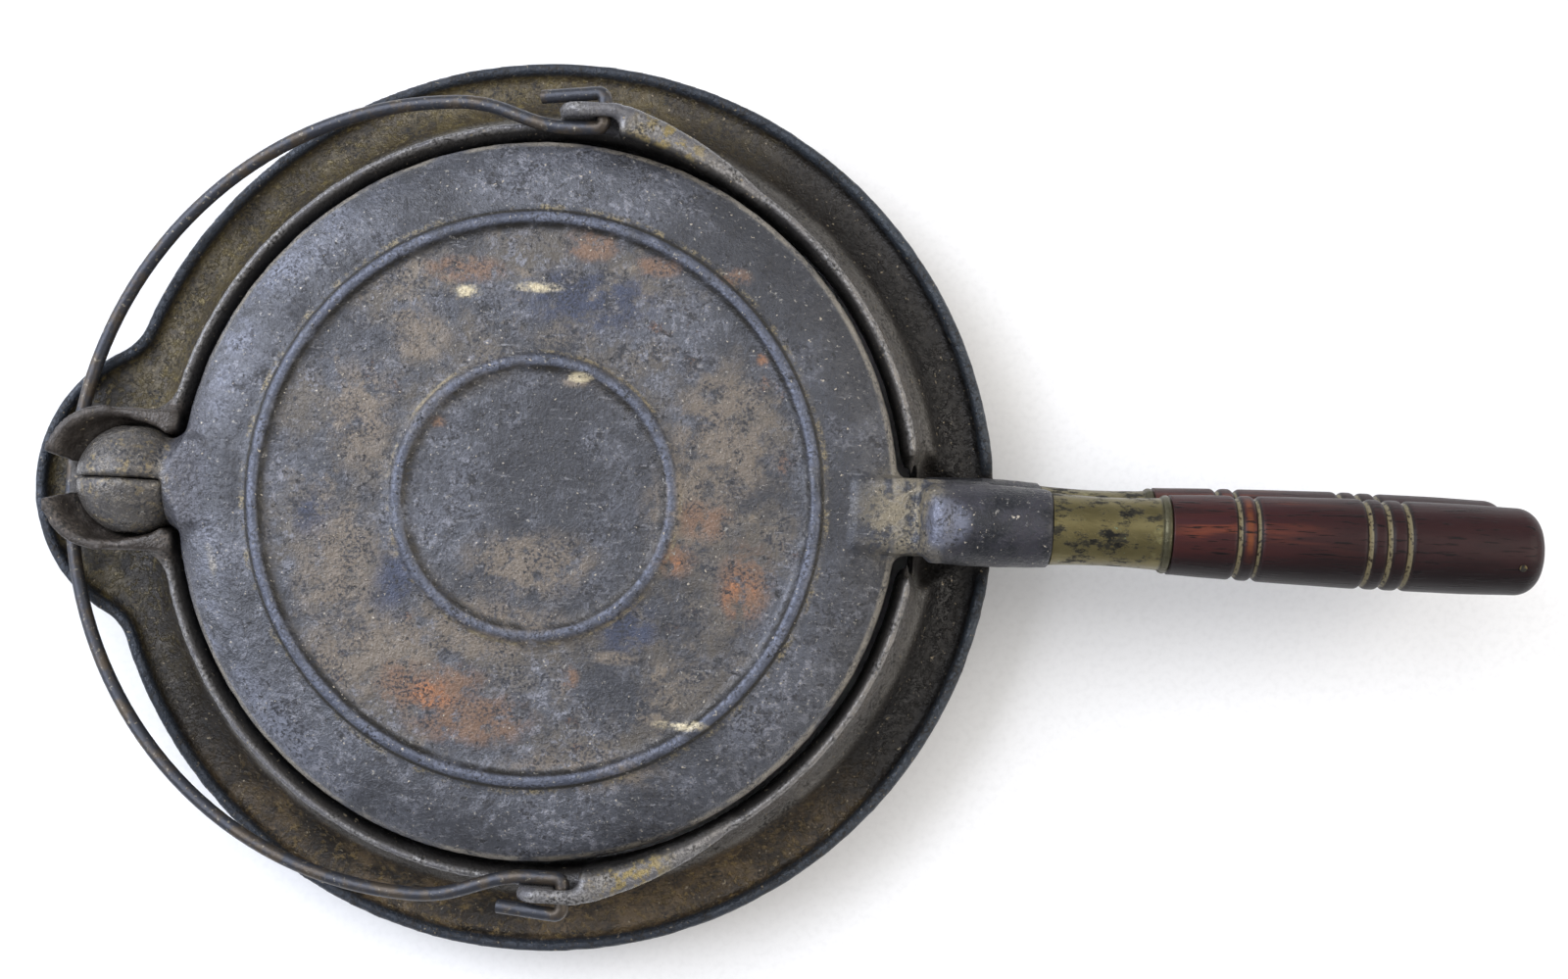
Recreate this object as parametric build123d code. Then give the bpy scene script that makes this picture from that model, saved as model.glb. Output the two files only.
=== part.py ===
from build123d import *
import os
from math import atan2, degrees, sqrt

# Cast-iron stovetop waffle iron: a ring base with a drip trough and an open ball
# socket, a wire bail, and two alike paddles that meet at a split ball hinge.
# Origin: floor, centre of the base ring. +X runs to the handles, +Z up.
# Lengths in mm, angles in degrees.

# ---- heights above the floor
axis_z = 48.0  # turning axis, in the plane where the paddles part
rim_top_z = 28.0
trough_z = 24.0
ridge_top_z = 50.7
rise_top_z = 49.0  # where the trough's rise meets the collar ridge
lip_z = 47.0  # foot of the collar's inner slope
collar_foot_z = 40.0
skirt_top_z = 34.0
seat_height = 6.0

# ---- radii, from the paddles' edge outwards
paddle_r = 98.5
collar_r = paddle_r + 1.9  # an open ring is left round the paddles
ridge_r = collar_r + 3.2
rise_end_r = ridge_r + 1.2
skirt_in_r = collar_r + 4.1
seat_r = skirt_in_r + 5.0
skirt_r = seat_r + 3.5
rise_start_r = skirt_r + 7.0
rim_r = rise_start_r + 7.2
rim_width = 3.4
base_wall = 3.5

# ---- ball hinge
ball_x = -paddle_r - 14.0
ball_r = 15.4
ball_clearance = 0.35
half_gap = 0.1  # each half stops this far short of the splitting planes
pin_r = 3.0
pin_length = 29.0
running_fit = 0.07  # radial, between a turning piece and its bore
fixed_fit = 0.03  # radial, between a driven or cast-in piece and its bore

# ---- spout lobe round the ball socket
lobe_x = ball_x + 7.1
lobe_r = 42.7
lobe_blend_r = 12.0

# ---- socket cup and its two wings
cup_back = 24.0  # from the ball's centre to the back of the wings' lip
cup_half_width = 20.0
cup_corner_r = 16.0
cup_foot_back = 18.0
cup_foot_half_width = 16.2
cup_foot_corner_r = 12.2
cup_lip = 2.7
cup_seat_back = 16.0  # the hollow where it meets the ball's bowl
cup_seat_half_width = 15.95
cup_seat_corner_r = 12.0
cup_mouth = 13.0  # the cheeks reach this far on the paddles' side of the ball
wing_tip_z = 55.2
wing_root_z = 52.6
gap_inner = 2.4  # half widths of the notch between the wings
gap_outer = 7.4
gap_start = 11.5  # from the ball's centre
gap_floor_z = 40.0

# ---- coves where the cup's sides run into the collar, from the trough's floor up
cove_levels = (-0.06, 0.08, 0.27, 0.52, 0.79, 0.92, 0.97)  # shares of the collar's height
cove_radii = (2.0, 4.5, 7.5, 9.5, 10.5, 10.2, 9.3)
cove_bite = 1.2  # how far the coves reach into the cup's side

# ---- bail: one length of wire, drawn from its pivot
wire_r = 1.9
wire_bend_r = 2.0
arm_y = ridge_r - 1.7  # the arms lie over the collar's ridge
arm_length = 15.0  # straight stretch from the pivot, past the ear
bail_half_width = arm_y + 7.1
bail_flare = 35.0
bail_leg = 42.7
bail_flare_r = 40.0
bail_rest_gap = 0.35

# ---- bail ears
ear_inner_y = arm_y + wire_r + 0.4
ear_thickness = 4.1
ear_outer_y = ear_inner_y + ear_thickness
ear_start_x = 0.5
ear_end_x = 17.5
ear_top_z = 63.5
ear_round_r = 7.0
ear_edge_r = 1.8
ramp_end_x = 57.0
pivot_x = 13.1
pivot_z = 58.3
pivot_bore_r = wire_r + 0.5
ramp_outer_r = sqrt(ear_outer_y**2 + ear_end_x**2)  # the ramp starts flush with the fin
ramp_bulge = 0.6  # the ramp's outer side lies this far outside an even taper
tail_y = ear_outer_y + wire_r + 1.4
tail_end_y = tail_y - 1.2
tail_length = 18.0

# ---- paddles
edge_height = 4.5
shoulder_r = paddle_r - 18.5
back_z = 13.1  # height of the back above the parting plane
land_r = paddle_r - 6.0
grid_depth = 9.0
outer_bead_r = shoulder_r - 4.1
outer_bead_height = 2.3
inner_bead_r = 37.2
inner_bead_height = 1.9
bead_width = 3.6

# ---- waffle grid
pin_pitch = 12.6
pin_root = 9.5
pin_tip = 6.5
pin_height = 5.5
divider_width = 4.0
divider_height = 6.5
grid_margin = 1.2

# ---- tab from the paddle to the ball: a round flare about the turning axis
tab_start = 9.6  # from the ball's centre
tab_start_r = 11.6
tab_end = 16.5
tab_end_r = 16.6
tab_hollow = 0.6  # how far the flare's curve lies inside its chord
tab_root = 24.0
tab_top = 12.2
tab_clearance = 0.7
opening_cut_angle = 45.0

# ---- neck, thumb stop and stub on the handle side
neck_half_width = 10.4
neck_top = 14.0
neck_round_r = 3.0
neck_blend_r = 3.5
neck_root_x = paddle_r - 12.0
neck_flat_x = paddle_r + 9.5  # the neck's underside is flat up to here
neck_end_x = paddle_r + 23.5
neck_end_z = 4.5
stub_start_x = paddle_r + 7.9
stub_end_x = paddle_r + 40.4
stub_z = 14.0
stub_offset_y = 1.6
stub_start_r = 10.65
stub_mid_r = 11.05
stub_end_r = 10.45
stop_start_x = paddle_r + 5.4
stop_swell_x = paddle_r + 7.1
stop_swell_r = 7.4  # height of the ramp's middle over the handle's axis
stop_crest_x = paddle_r + 10.5
stop_end_x = paddle_r + 12.4
stop_r = stub_start_r + 1.35
stop_half_width = 8.8

# ---- the collar's notch round the necks
journal_clearance = 0.3
swing_clearance = 0.6
notch_start_x = collar_r - 8.0
notch_flare_x = collar_r + 2.0  # the notch widens from here
notch_end_x = collar_r + 5.2

# ---- ferrule
ferrule_length = 31.6
ferrule_end_r = 9.7
ferrule_waist_r = 9.2
ferrule_bead_r = 10.5
ferrule_bead_width = 2.6
ferrule_bore_r = 8.0
spigot_length = 4.0

# ---- wooden grip
grip_length = 98.3
grip_start_r = 10.7
grip_shoulder_r = 11.4
grip_mid_r = 12.1
grip_end_r = 11.75
grip_neck_bulge = 0.15  # how far the narrow end swells outside an even taper
grip_end_round = 6.0
groove_places = (17.4, 22.4, 51.4, 56.5, 61.7)
groove_depth = 0.9  # and the radius of the rounded shoulders beside it
groove_bottom = 0.4
tenon_length = 26.0

# ---- tang rod and brad
rod_r = 4.0
rod_start = 14.0  # how far the rod reaches into the stub
rod_tip_wood = 6.0  # wood left beyond the rod's end
brad_from_end = 7.0
brad_shank_r = 0.7
brad_head_r = 0.95
brad_head_height = 0.6
brad_angle = 23.0
brad_bite = 2.0
brad_clearance = 0.05

grip_start_x = stub_end_x + ferrule_length
groove_width = groove_bottom + 2 * groove_depth
grip_end_x = grip_start_x + grip_length
rod_end_x = grip_end_x - rod_tip_wood
handle_cut_r = sqrt((stub_z + stop_r) ** 2 + stub_offset_y**2) + swing_clearance
corner_y = neck_half_width - neck_round_r
corner_z = neck_top - neck_round_r
journal_r = sqrt(corner_y**2 + corner_z**2) + neck_round_r
flange_z = trough_z - base_wall
socket_r = ball_r + ball_clearance
ball_centre = (ball_x, 0, axis_z)


def x_cylinder(radius, start, end, y=0.0, z=axis_z):
    """A cylinder along X between two places."""
    shape = Cylinder(radius, end - start, align=(Align.CENTER, Align.CENTER, Align.MIN))
    return Pos(start, y, z) * Rot(0, 90, 0) * shape


def slab(x0, x1, y0, y1, z0, z1):
    """A box between two places on each axis."""
    middle = ((x0 + x1) / 2, (y0 + y1) / 2, (z0 + z1) / 2)
    return Pos(*middle) * Box(x1 - x0, y1 - y0, z1 - z0)


def x_turned(edges):
    """A solid turned about the X axis from edges drawn as (x, radius)."""
    return revolve(make_face(edges), Axis.X)


# ---------------------------------------------------------------- base


def outline_face(inset):
    """The base's outline: main ring and spout lobe joined by two hollow curves."""
    far = rim_r + lobe_blend_r
    near = lobe_r + lobe_blend_r
    blend_x = -(lobe_x**2 + far**2 - near**2) / (2 * abs(lobe_x))
    blend_y = sqrt(far**2 - blend_x**2)
    ring, lobe, blend = rim_r - inset, lobe_r - inset, lobe_blend_r + inset
    corners = {}
    middles = {}
    for side in (1, -1):
        centre = Vector(blend_x, side * blend_y)
        to_ring = (Vector(0, 0) - centre).normalized()
        to_lobe = (Vector(lobe_x, 0) - centre).normalized()
        corners[side, "ring"] = centre + to_ring * blend
        corners[side, "lobe"] = centre + to_lobe * blend
        middles[side] = centre + (to_ring + to_lobe).normalized() * blend
    arcs = [
        ThreePointArc(corners[1, "ring"], (ring, 0), corners[-1, "ring"]),
        ThreePointArc(corners[-1, "ring"], middles[-1], corners[-1, "lobe"]),
        ThreePointArc(corners[-1, "lobe"], (lobe_x - lobe, 0), corners[1, "lobe"]),
        ThreePointArc(corners[1, "lobe"], middles[1], corners[1, "ring"]),
    ]
    return make_face(arcs)


def collar_ring():
    """Trough rise, collar ridge, skirt and stove seat, turned about Z."""
    rise = EllipticalCenterArc(
        (rise_start_r, rise_top_z),
        rise_start_r - rise_end_r,
        rise_top_z - trough_z,
        start_angle=180,
        arc_size=90,
    )
    ridge_inner = (ridge_r - (rise_end_r - ridge_r), rise_top_z)
    ridge = ThreePointArc((rise_end_r, rise_top_z), (ridge_r, ridge_top_z), ridge_inner)
    rest = Polyline(
        ridge_inner,
        (collar_r, lip_z),
        (collar_r, collar_foot_z),
        (skirt_in_r, skirt_top_z),
        (skirt_in_r, 0),
        (seat_r, 0),
        (seat_r, seat_height),
        (skirt_r, seat_height),
        (skirt_r, flange_z),
        (rise_start_r, flange_z),
        (rise_start_r, trough_z),
    )
    section = make_face([rise, ridge, *rest.edges()])
    return revolve(Plane.XZ * section, Axis.Z)


def flange():
    """Trough floor out to the rim, with the rim's rounded bead along the outline."""
    floor_face = outline_face(rim_width / 2) - Circle((skirt_in_r + skirt_r) / 2)
    floor = Pos(0, 0, flange_z) * extrude(floor_face, base_wall)
    wall = Pos(0, 0, flange_z) * extrude(
        outline_face(0) - outline_face(rim_width), rim_top_z - flange_z
    )
    wall = fillet(wall.faces().sort_by(Axis.Z)[-1].edges(), rim_width * 0.47)
    return floor + wall


def cup_plan(back, half_width, corner_r, mouth, z):
    """The socket cup's plan at one height: straight cheeks and a rounded back."""
    plan = Pos((mouth - back) / 2, 0) * Rectangle(back + mouth, 2 * half_width)
    plan = fillet(plan.vertices().group_by(Axis.X)[0], corner_r)
    return Pos(ball_x, 0, z) * plan


def socket_cup():
    """The flared cup under the ball, with two wings that curve round its back."""
    outer = loft(
        [
            cup_plan(cup_foot_back, cup_foot_half_width, cup_foot_corner_r, cup_mouth, flange_z),
            cup_plan(cup_back, cup_half_width, cup_corner_r, cup_mouth, wing_tip_z),
        ],
        ruled=True,
    )
    lip_back = cup_back - cup_lip
    lip_half_width = cup_half_width - cup_lip
    hollow = loft(
        [
            cup_plan(cup_seat_back, cup_seat_half_width, cup_seat_corner_r, 0, axis_z),
            cup_plan(lip_back, lip_half_width, cup_corner_r - cup_lip, 0, wing_tip_z),
        ],
        ruled=True,
    )
    hollow += Pos(*ball_centre) * Cylinder(
        cup_seat_half_width,
        wing_tip_z - axis_z,
        align=(Align.CENTER, Align.CENTER, Align.MIN),
    )
    return outer - hollow - wing_top_cut() - wing_gap()


def wing_top_cut():
    """Everything above the wings' sloping lip."""
    back = ball_x - cup_back - 1
    front = ball_x + cup_mouth + 1
    above = wing_tip_z + 2
    side = make_face(
        Polyline(
            (back, wing_tip_z), (front, wing_root_z), (front, above), (back, above), close=True
        )
    )
    return extrude(Plane.XZ * side, cup_half_width + 1, both=True)


def wing_gap():
    """The notch between the two wings, wider towards the spout."""
    back = ball_x - cup_back - 2
    plan = make_face(
        Polyline(
            (ball_x - gap_start, gap_inner),
            (back, gap_outer),
            (back, -gap_outer),
            (ball_x - gap_start, -gap_inner),
            close=True,
        )
    )
    return Pos(0, 0, gap_floor_z) * extrude(plan, wing_tip_z - gap_floor_z + 1)


def rise_r(z):
    """The radius of the trough's rise at one height, and above it of the ridge's edge."""
    drop = min(max(rise_top_z - z, 0) / (rise_top_z - trough_z), 1)
    return rise_start_r - (rise_start_r - rise_end_r) * sqrt(1 - drop**2)


def cove_section(level, blend):
    """One level of the cove: a hollow arc from the cup's cheek to the collar."""
    z = trough_z + level * (ridge_top_z - trough_z)
    flare = (z - flange_z) / (wing_tip_z - flange_z)
    cheek_y = cup_foot_half_width + (cup_half_width - cup_foot_half_width) * flare
    collar = rise_r(z)
    centre_y = cheek_y + blend
    centre = Vector(-sqrt((collar + blend) ** 2 - centre_y**2), centre_y)
    on_collar = centre - centre.normalized() * blend
    on_cheek = centre - Vector(0, blend)
    middle = centre + (on_collar + on_cheek - centre * 2).normalized() * blend
    inside = (-sqrt(collar**2 - cheek_y**2) + cove_bite, cheek_y - cove_bite)
    arc = ThreePointArc(on_cheek, middle, on_collar)
    rest = Polyline(on_collar, inside, on_cheek)
    return Pos(0, 0, z) * make_face([arc, *rest.edges()])


def coves():
    """The hollow blends on both sides of the cup."""
    one = loft([cove_section(level, blend) for level, blend in zip(cove_levels, cove_radii)])
    return [one, mirror(one, Plane.XZ)]


def ear(side):
    """One bail ear: a flat fin with the pivot bore, and a ramp down to the ridge."""
    foot_z = skirt_top_z - 2
    fin_plan = make_face(
        [
            Line((ear_start_x, foot_z), (ear_start_x, ear_top_z - ear_round_r)),
            RadiusArc(
                (ear_start_x, ear_top_z - ear_round_r),
                (ear_start_x + ear_round_r, ear_top_z),
                ear_round_r,
            ),
            *Polyline(
                (ear_start_x + ear_round_r, ear_top_z),
                (ear_end_x, ear_top_z),
                (ear_end_x, foot_z),
                (ear_start_x, foot_z),
            ).edges(),
        ]
    )
    fin = extrude(Plane.XZ * fin_plan, -ear_thickness)
    sides = fin.edges().filter_by(lambda e: e.length > ear_thickness + ear_edge_r)
    sides = sides.filter_by(lambda e: e.center().X < ear_end_x and e.center().Z > foot_z)
    fin = Pos(0, ear_inner_y, 0) * fillet(sides, ear_edge_r)
    bore = Pos(pivot_x, ear_inner_y + ear_thickness / 2, pivot_z) * (
        Rot(90, 0, 0) * Cylinder(pivot_bore_r, ear_thickness + 2)
    )
    ramp_side = make_face(
        Polyline(
            (ear_end_x, foot_z),
            (ear_end_x, ear_top_z),
            (ramp_end_x, ridge_top_z - 0.4),
            (ramp_end_x, foot_z),
            close=True,
        )
    )
    middle_x = (ear_end_x + ramp_end_x) / 2
    outer_start, outer_end = on_ring(ramp_outer_r, ear_end_x), on_ring(rise_end_r, ramp_end_x)
    inner_start, inner_end = on_ring(collar_r, ear_end_x), on_ring(collar_r, ramp_end_x)
    ramp_plan = make_face(
        [
            ThreePointArc(
                outer_start, on_ring((ramp_outer_r + rise_end_r) / 2 + ramp_bulge, middle_x), outer_end
            ),
            Line(outer_end, inner_end),
            ThreePointArc(inner_end, on_ring(collar_r, middle_x), inner_start),
            Line(inner_start, outer_start),
        ]
    )
    ramp = extrude(Plane.XZ * ramp_side, -ear_outer_y)
    ramp &= Pos(0, 0, foot_z) * extrude(ramp_plan, ear_top_z - foot_z)
    slopes = ramp.edges().filter_by(GeomType.ELLIPSE)
    front = ramp.edges().group_by(Axis.X)[0].filter_by(lambda e: e.center().Z > foot_z)
    ramp = fillet([*slopes, *front], ear_edge_r)
    whole = (fin - bore) + ramp
    return whole if side > 0 else mirror(whole, Plane.XZ)


def on_ring(radius, x):
    """The point of a ring on the ear's side at one x."""
    return (x, sqrt(radius**2 - x**2))


def handle_dip():
    """Iron under the rim where it dips to clear the turning handles."""
    pad = x_cylinder(handle_cut_r + base_wall, skirt_r - 1, rim_r + 1)
    slice_ = Pos(0, 0, axis_z - handle_cut_r - base_wall) * extrude(
        outline_face(0.6), handle_cut_r + base_wall - axis_z + trough_z
    )
    return pad & slice_


def well():
    """The round opening through the ring, wider below the collar."""
    above = ear_top_z + 1
    section = make_face(
        Polyline(
            (0, -1),
            (skirt_in_r, -1),
            (skirt_in_r, skirt_top_z),
            (collar_r, collar_foot_z),
            (collar_r, above),
            (0, above),
            close=True,
        )
    )
    return revolve(Plane.XZ * section, Axis.Z)


def tab_outline(clearance=0.0):
    """Half of the tab's flare in plan, from the ball outwards, as (x, y) edges."""
    start = (ball_x + tab_start - clearance, tab_start_r + clearance)
    end = (ball_x + tab_end - clearance, tab_end_r + clearance)
    middle = (
        (start[0] + end[0]) / 2 + tab_hollow,
        (start[1] + end[1]) / 2 - tab_hollow,
    )
    root_x = ball_x + tab_root + clearance
    rest = Polyline(end, (root_x, end[1]), (root_x, 0), (start[0], 0), start)
    return [ThreePointArc(start, middle, end), *rest.edges()]


def tab_room():
    """What the tabs sweep: turned about the long axis, and opened about the pin."""
    half = make_face(tab_outline(tab_clearance))
    turned = Pos(0, 0, axis_z) * revolve(half, Axis.X)
    plan = Pos(0, 0, axis_z) * (half + mirror(half, Plane.XZ))
    opened = revolve(plan, Axis(ball_centre, (0, -1, 0)), opening_cut_angle)
    return turned + opened


def handle_room():
    """The collar's round notch, flaring to what the turning handles sweep."""
    notch_r = journal_r + journal_clearance
    outside_x = rim_r + 2
    edges = Polyline(
        (notch_start_x, 0),
        (notch_start_x, notch_r),
        (notch_flare_x, notch_r),
        (notch_end_x, handle_cut_r),
        (outside_x, handle_cut_r),
        (outside_x, 0),
        (notch_start_x, 0),
    ).edges()
    return Pos(0, 0, axis_z) * x_turned([*edges])


def base():
    body = collar_ring().fuse(flange(), socket_cup(), *coves(), ear(1), ear(-1), handle_dip())
    body -= Pos(*ball_centre) * Sphere(socket_r)
    body -= tab_room()
    body -= well()
    body -= handle_room()
    return body


# ---------------------------------------------------------------- bail


def bail():
    """One length of wire: tails outside the ears, through both bores, and round."""
    half = FilletPolyline(
        (-tail_length, tail_end_y),
        (0, tail_y),
        (0, arm_y),
        (-arm_length, arm_y),
        (-bail_flare, bail_half_width),
        (-bail_leg, bail_half_width),
        radius=[wire_bend_r, wire_bend_r, bail_flare_r, bail_flare_r],
    )
    bow = ThreePointArc(
        (-bail_leg, bail_half_width),
        (-bail_leg - bail_half_width, 0),
        (-bail_leg, -bail_half_width),
    )
    path = Wire([*half.edges(), bow, *mirror(half, Plane.XZ).edges()])
    start = Plane(origin=half @ 0, z_dir=half % 0)
    wire = sweep(start * Circle(wire_r), path=path)
    return Pos(pivot_x, 0, pivot_z) * Rot(0, -bail_tilt(), 0) * wire


def bail_tilt():
    """The angle below level at which the wire lies just above the spout lobe's rim."""
    bow_x = pivot_x - bail_leg
    rim_inner_r = lobe_r - rim_width
    squares = bail_half_width**2 - rim_inner_r**2 + lobe_x**2 - bow_x**2
    cross_x = squares / (2 * (lobe_x - bow_x))
    drop = pivot_z - rim_top_z - wire_r - bail_rest_gap
    return degrees(atan2(drop, pivot_x - cross_x))


# ---------------------------------------------------------------- paddles
# The upper paddle is drawn with its parting plane at z = 0. The lower one is the
# same casting turned half round about the X axis.


def bead(radius, height):
    """One raised ring on the back, as an arc in the turned profile."""
    return ThreePointArc(
        (radius + bead_width / 2, back_z),
        (radius, back_z + height),
        (radius - bead_width / 2, back_z),
    )


def disc():
    """The round of the paddle: land, recess, domed shoulder and two beads."""
    shoulder = EllipticalCenterArc(
        (shoulder_r, edge_height),
        paddle_r - shoulder_r,
        back_z - edge_height,
        start_angle=0,
        arc_size=90,
    )
    beads = [bead(outer_bead_r, outer_bead_height), bead(inner_bead_r, inner_bead_height)]
    section = make_face(
        [
            *Polyline(
                (0, back_z),
                (0, grid_depth),
                (land_r, grid_depth),
                (land_r, half_gap),
                (paddle_r, half_gap),
                (paddle_r, edge_height),
            ).edges(),
            shoulder,
            Line((shoulder_r, back_z), beads[0] @ 0),
            beads[0],
            Line(beads[0] @ 1, beads[1] @ 0),
            beads[1],
            Line(beads[1] @ 1, (0, back_z)),
        ]
    )
    return revolve(Plane.XZ * section, Axis.Z)


def grid_places():
    """Centres of the pins: rows in each quarter, kept inside the recess."""
    first = divider_width / 2 + grid_margin + pin_root / 2
    steps = [first + n * pin_pitch for n in range(int(land_r / pin_pitch))]
    reach = land_r - grid_margin
    corner = pin_root / 2
    inside = [(x, y) for x in steps for y in steps if (x + corner) ** 2 + (y + corner) ** 2 < reach**2]
    return [(sx * x, sy * y) for x, y in inside for sx in (1, -1) for sy in (1, -1)]


def grid():
    """The waffle pins and the two ribs that part the cake into quarters."""
    root_z = grid_depth + half_gap
    root = Pos(0, 0, root_z) * Rectangle(pin_root, pin_root)
    tip = Pos(0, 0, grid_depth - pin_height) * Rectangle(pin_tip, pin_tip)
    pin = loft([root, tip], ruled=True)
    rib_length = 2 * (land_r + 1)
    rib_z = grid_depth - divider_height
    rib = slab(-rib_length / 2, rib_length / 2, -divider_width / 2, divider_width / 2, rib_z, root_z)
    pins = [Pos(x, y, 0) * pin for x, y in grid_places()]
    return [*pins, rib, Rot(0, 0, 90) * rib]


def tab():
    """The half-round flare from the paddle to its half of the ball."""
    flare = revolve(make_face(tab_outline()), Axis.X)
    reach = tab_end_r + 1
    return flare & slab(ball_x, ball_x + tab_root, -reach, reach, half_gap, tab_top)


def half_ball():
    """The half of the ball on this paddle's side of the splitting plane."""
    keep = slab(ball_x - ball_r, ball_x + ball_r, half_gap, ball_r, -ball_r, ball_r)
    return (Pos(ball_x, 0, 0) * Sphere(ball_r)) & keep


def neck():
    """The flat neck over the collar's notch, with small hollows at the disc's edge."""
    section = Pos(0, neck_top / 2) * Rectangle(2 * neck_half_width, neck_top)
    section = fillet(section.vertices().group_by(Axis.Y)[-1], neck_round_r)
    bar = Pos(neck_root_x, 0, 0) * extrude(Plane.YZ * section, neck_end_x - neck_root_x)
    side = make_face(
        Polyline(
            (neck_root_x, half_gap),
            (neck_flat_x, half_gap),
            (neck_end_x, neck_end_z),
            (neck_end_x, neck_top),
            (neck_root_x, neck_top),
            close=True,
        )
    )
    bar &= extrude(Plane.XZ * side, neck_half_width, both=True)
    plan = Circle(paddle_r) + Pos(paddle_r, 0) * Rectangle(4 * neck_round_r, 2 * neck_half_width)
    corners = plan.vertices().filter_by(lambda v: v.X < paddle_r)
    plan = fillet(corners, neck_blend_r)
    plan &= Pos(paddle_r, 0) * Rectangle(4 * neck_round_r, 4 * neck_half_width)
    return bar + Pos(0, 0, half_gap) * extrude(plan, edge_height - half_gap)


def stub():
    """The round stub of the handle, with the spigot inside the ferrule."""
    curve = ThreePointArc(
        (stub_start_x, stub_start_r),
        ((stub_start_x + stub_end_x) / 2, stub_mid_r),
        (stub_end_x, stub_end_r),
    )
    sides = Polyline(
        (stub_end_x, stub_end_r),
        (stub_end_x, ferrule_bore_r - fixed_fit),
        (stub_end_x + spigot_length, ferrule_bore_r - fixed_fit),
        (stub_end_x + spigot_length, 0),
        (stub_start_x, 0),
        (stub_start_x, stub_start_r),
    )
    return handle_axis(x_turned([curve, *sides.edges()]))


def thumb_stop():
    """The raised cross ridge where the neck steps up to the stub."""
    rise = ThreePointArc(
        (stop_start_x, neck_top - stub_z),
        (stop_swell_x, stop_swell_r),
        (stop_crest_x, stop_r),
    )
    rest = Polyline(
        (stop_crest_x, stop_r),
        (stop_end_x, stop_r),
        (stop_end_x, -neck_round_r),
        (stop_start_x, -neck_round_r),
        (stop_start_x, neck_top - stub_z),
    )
    side = make_face([rise, *rest.edges()])
    block = extrude(Plane.XZ * side, stop_half_width, both=True)
    return handle_axis(block & x_cylinder(stop_r, stop_start_x, stop_end_x, z=0))


def paddle_casting():
    body = disc().fuse(*grid(), tab(), half_ball(), neck(), stub(), thumb_stop())
    reach = socket_r + 1
    other_side = slab(ball_x - reach, ball_x + reach, -reach, half_gap, -reach, reach)
    body -= (Pos(ball_x, 0, 0) * Sphere(socket_r)) & other_side
    body -= Pos(ball_x, 0, 0) * (Rot(90, 0, 0) * Cylinder(pin_r + running_fit, 4 * ball_r))
    body -= x_cylinder(
        rod_r + fixed_fit,
        stub_end_x - rod_start,
        stub_end_x + spigot_length + 1,
        -stub_offset_y,
        stub_z,
    )
    return body


def placed(shape, is_upper):
    """Moves a paddle-side piece to its place: as drawn, or turned half round."""
    turn = Rot(0, 0, 0) if is_upper else Rot(180, 0, 0)
    return Pos(0, 0, axis_z) * turn * shape


def hinge_pin():
    """The dowel through both halves of the ball."""
    return Pos(*ball_centre) * (Rot(90, 0, 0) * Cylinder(pin_r, pin_length))


# ---------------------------------------------------------------- handles


def handle_axis(shape):
    """Moves a piece drawn on the X axis to the upper handle's axis."""
    return Pos(0, -stub_offset_y, stub_z) * shape


def ferrule():
    """A spool-shaped brass ring over the stub's spigot and the grip's tenon."""
    bead_start_x = grip_start_x - ferrule_bead_width
    waist = ThreePointArc(
        (stub_end_x, ferrule_end_r),
        ((stub_end_x + bead_start_x) / 2, ferrule_waist_r),
        (bead_start_x, ferrule_end_r),
    )
    roll = ThreePointArc(
        (bead_start_x, ferrule_end_r),
        (bead_start_x + ferrule_bead_width / 2, ferrule_bead_r),
        (grip_start_x, ferrule_end_r),
    )
    bore = Polyline(
        (grip_start_x, ferrule_end_r),
        (grip_start_x, ferrule_bore_r),
        (stub_end_x, ferrule_bore_r),
        (stub_end_x, ferrule_end_r),
    )
    return handle_axis(x_turned([waist, roll, *bore.edges()]))


def grip():
    """The turned wooden grip with its grooves, tenon and blind bore."""
    tenon_r = ferrule_bore_r - fixed_fit
    swell_x = grip_start_x + groove_places[1] + groove_width
    mid_x = grip_start_x + groove_places[2] - groove_width
    neck = ThreePointArc(
        (grip_start_x, grip_start_r),
        ((grip_start_x + swell_x) / 2, (grip_start_r + grip_shoulder_r) / 2 + grip_neck_bulge),
        (swell_x, grip_shoulder_r),
    )
    body = ThreePointArc(
        (swell_x, grip_shoulder_r), (mid_x, grip_mid_r), (grip_end_x - grip_end_round, grip_end_r)
    )
    end = RadiusArc(
        (grip_end_x - grip_end_round, grip_end_r),
        (grip_end_x, grip_end_r - grip_end_round),
        grip_end_round,
    )
    sides = Polyline(
        (grip_end_x, grip_end_r - grip_end_round),
        (grip_end_x, 0),
        (grip_start_x - tenon_length, 0),
        (grip_start_x - tenon_length, tenon_r),
        (grip_start_x, tenon_r),
        (grip_start_x, grip_start_r),
    )
    wood = x_turned([neck, body, end, *sides.edges()])
    for place in groove_places:
        radius = grip_mid_r if place > groove_places[1] else grip_shoulder_r
        wood -= groove(grip_start_x + place, radius)
    wood -= x_cylinder(rod_r + fixed_fit, grip_start_x - tenon_length - 1, rod_end_x + 1, z=0)
    return handle_axis(wood - brad_shape(brad_clearance))


def groove(x, radius):
    """A turned groove with rounded shoulders, as a ring to cut away."""
    flat, half = groove_bottom / 2, groove_width / 2
    bottom = radius - groove_depth
    above = radius + groove_depth
    near = RadiusArc((x - half, radius), (x - flat, bottom), groove_depth)
    far = RadiusArc((x + flat, bottom), (x + half, radius), groove_depth)
    rest = Polyline((x + half, radius), (x + half, above), (x - half, above), (x - half, radius))
    return x_turned([near, Line((x - flat, bottom), (x + flat, bottom)), far, *rest.edges()])


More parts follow.
